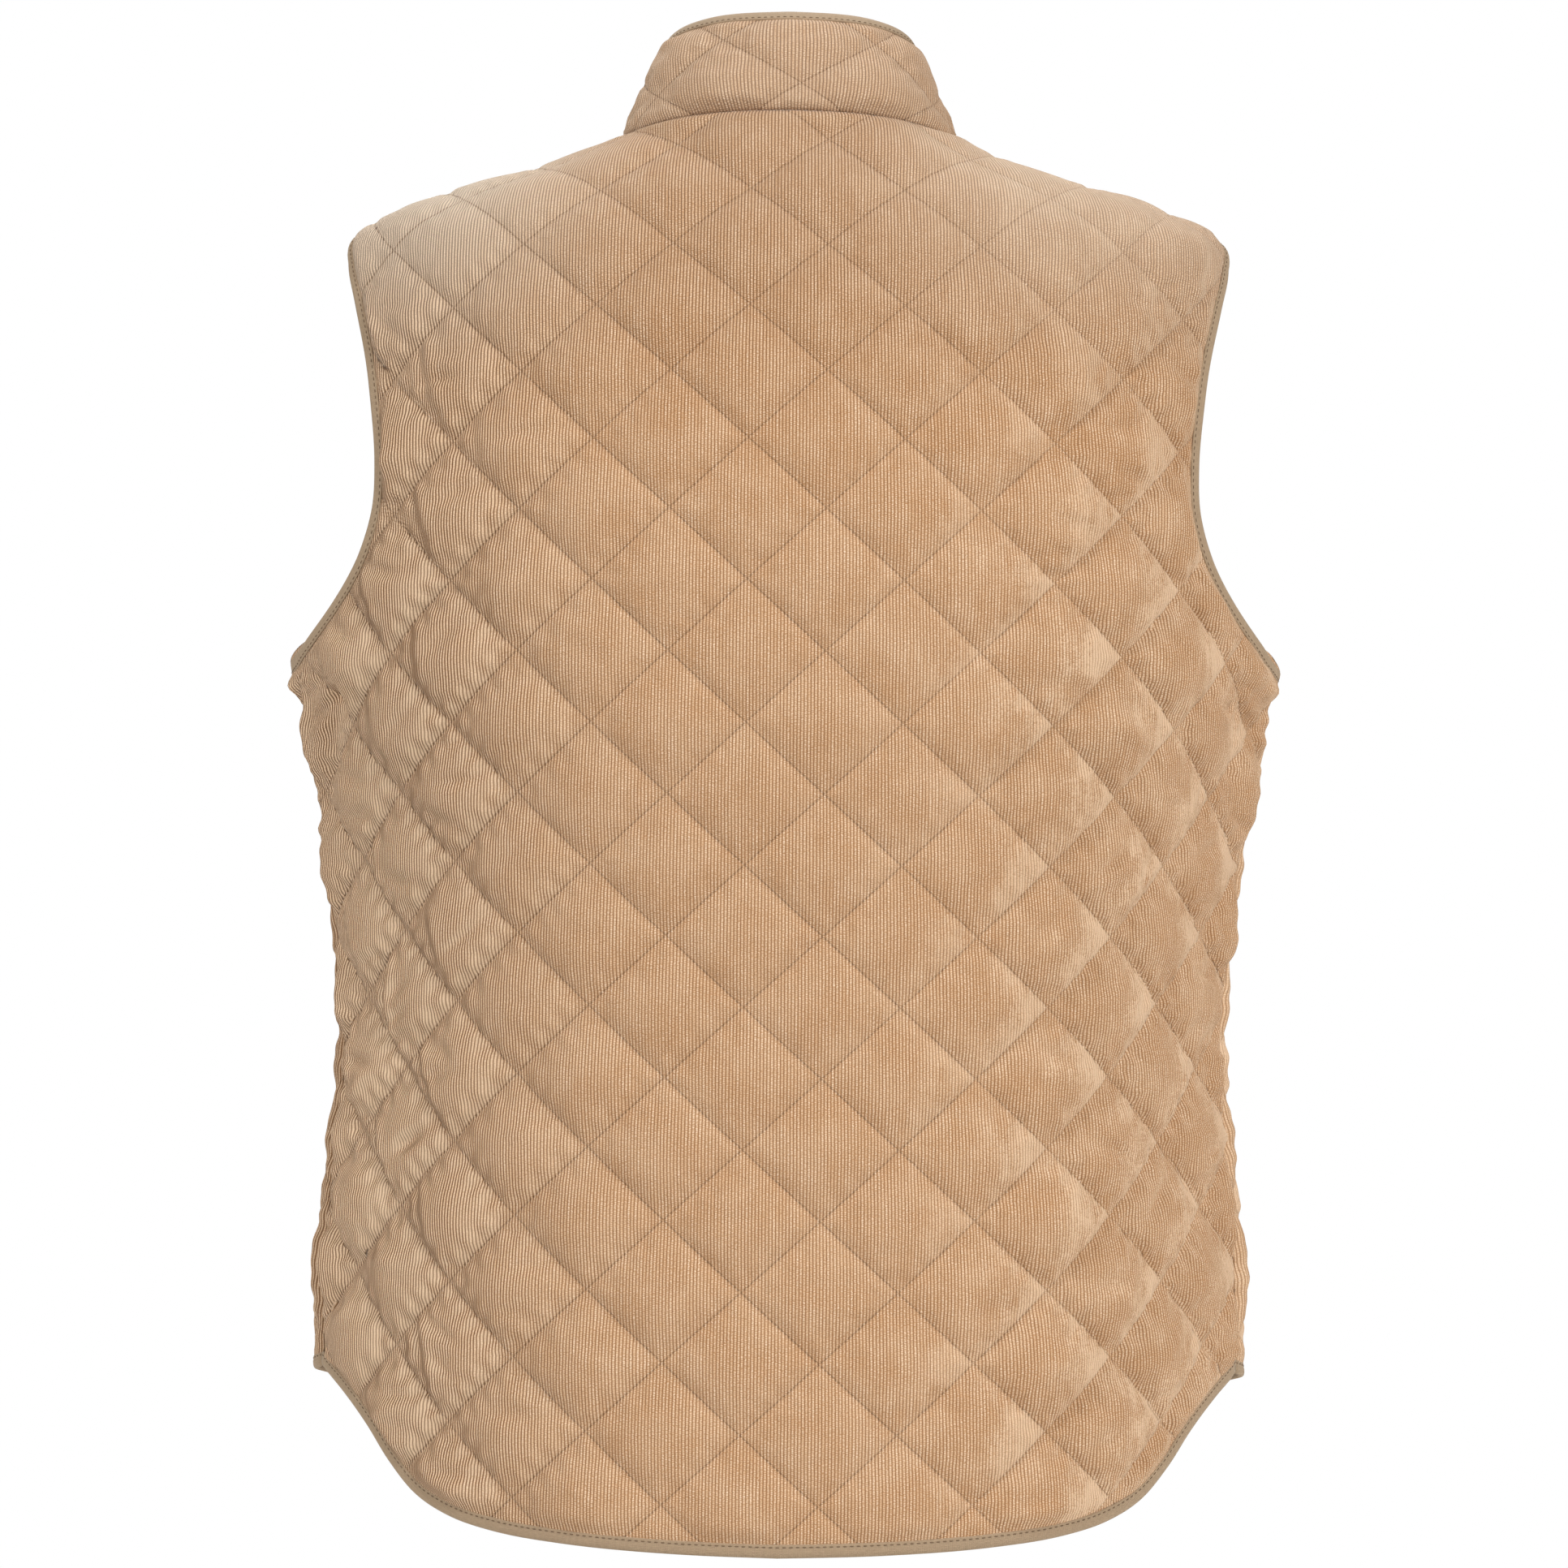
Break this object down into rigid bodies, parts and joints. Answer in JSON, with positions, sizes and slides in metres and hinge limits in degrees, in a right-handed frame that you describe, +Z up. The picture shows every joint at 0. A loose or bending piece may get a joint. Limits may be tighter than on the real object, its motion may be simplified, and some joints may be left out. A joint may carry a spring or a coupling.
{
  "type": "quilted corduroy gilet",
  "caption": "Sleeveless quilted corduroy gilet with a stand collar, bound edges and a shaped hem, kept hollow in the form it has when worn.",
  "frame": {"origin": "between the shoulders at the level of the side neck points, where the wearer's shoulders carry the gilet", "axes": "+Z up, -Y towards the front of the gilet, +X towards the wearer's left"},
  "size_m": [0.4956, 0.2819, 0.7496],
  "materials": {
    "corduroy": "fine-wale cotton corduroy, diamond quilted, soft nap",
    "binding_tape": "plain woven bias tape",
    "press_stud": "dark antique press stud cap"
  },
  "bodies": {
    "root": {"back": "corduroy", "front_left": "corduroy", "front_right": "corduroy", "collar": "corduroy", "binding_armhole_left": "binding_tape", "binding_armhole_right": "binding_tape", "binding_hem_back": "binding_tape", "binding_edge_left": "binding_tape", "binding_edge_right": "binding_tape", "binding_collar": "binding_tape", "stud_1": "press_stud", "stud_2": "press_stud", "stud_3": "press_stud", "stud_4": "press_stud", "stud_5": "press_stud", "stud_6": "press_stud", "stud_collar": "press_stud"}
  },
  "joints": []
}
